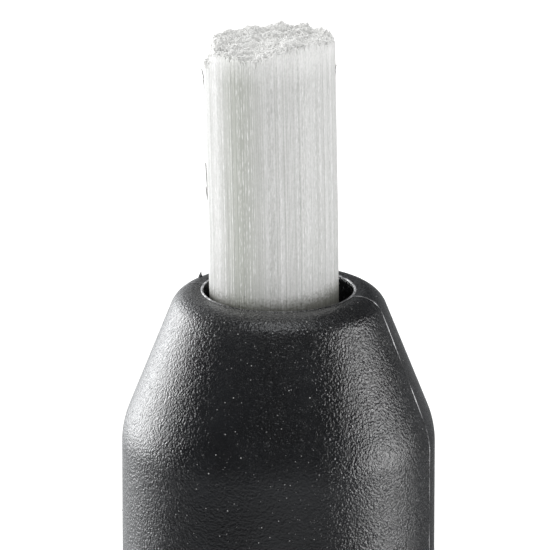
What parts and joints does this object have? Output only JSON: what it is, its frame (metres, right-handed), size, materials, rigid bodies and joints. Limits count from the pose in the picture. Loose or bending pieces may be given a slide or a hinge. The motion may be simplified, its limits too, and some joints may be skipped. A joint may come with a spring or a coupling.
{
  "type": "glass fibre brush pen",
  "caption": "Round black twist-feed pen whose knob winds a square-cut bundle of glass fibres out of a conical nose, with a sprung pocket clip.",
  "frame": {"origin": "centre of the knob's flat end face", "axes": "+Z along the pen towards the brush, pocket clip towards -Y, mould parting line in the XZ plane"},
  "size_m": [0.0098, 0.0118, 0.12],
  "materials": {
    "grained_black_plastic": "spark-eroded moulded grain",
    "smooth_black_plastic": "smooth moulded",
    "grey_plastic": "satin",
    "white_acetal": "natural acetal",
    "chromed_metal": "bright plated",
    "plain_steel": "turned",
    "brass": "drawn",
    "aluminium": "drawn",
    "black_rubber": "moulded",
    "cast_resin": "cast, amber",
    "glass_fibre": "bundled fine fibres, white"
  },
  "bodies": {
    "barrel": {"barrel": "grained_black_plastic", "guide_tube": "brass", "end_bush": "smooth_black_plastic", "clip_ring": "chromed_metal", "friction_o_ring": "black_rubber", "thrust_washer": "brass"},
    "clip": {"pocket_clip": "chromed_metal"},
    "drive": {"twist_knob": "smooth_black_plastic", "end_cap": "grey_plastic", "knob_screw": "plain_steel", "lock_washer": "plain_steel", "spring_washer": "plain_steel", "lead_screw": "white_acetal", "stop_ring": "plain_steel"},
    "carrier": {"carrier_nut": "white_acetal", "push_tube": "aluminium", "refill_holder": "white_acetal"},
    "refill": {"ferrule": "aluminium", "resin_plug": "cast_resin", "fibre_bundle": "glass_fibre"}
  },
  "joints": [
    {"name": "knob_turn", "type": "hinge", "parent": "barrel", "child": "drive", "pos_m": [0, 0, 0], "axis": [0, 0, 1], "range_deg": [-1081, 2881]},
    {"name": "carrier_slide", "type": "slide", "parent": "barrel", "child": "carrier", "axis": [0, 0, 1], "range_m": [-0.009, 0.024]},
    {"name": "refill_pull", "type": "slide", "parent": "carrier", "child": "refill", "axis": [0, 0, 1], "range_m": [0, 0.006]},
    {"name": "clip_flex", "type": "hinge", "parent": "barrel", "child": "clip", "pos_m": [0, -0.0042, 0.0153], "axis": [1, 0, 0], "range_deg": [0, 4], "stiffness_Nm_per_rad": 0.3}
  ],
  "couplings": [
    {"joint": "knob_turn", "follows": "carrier_slide", "rad_per_m": 2094.4}
  ]
}
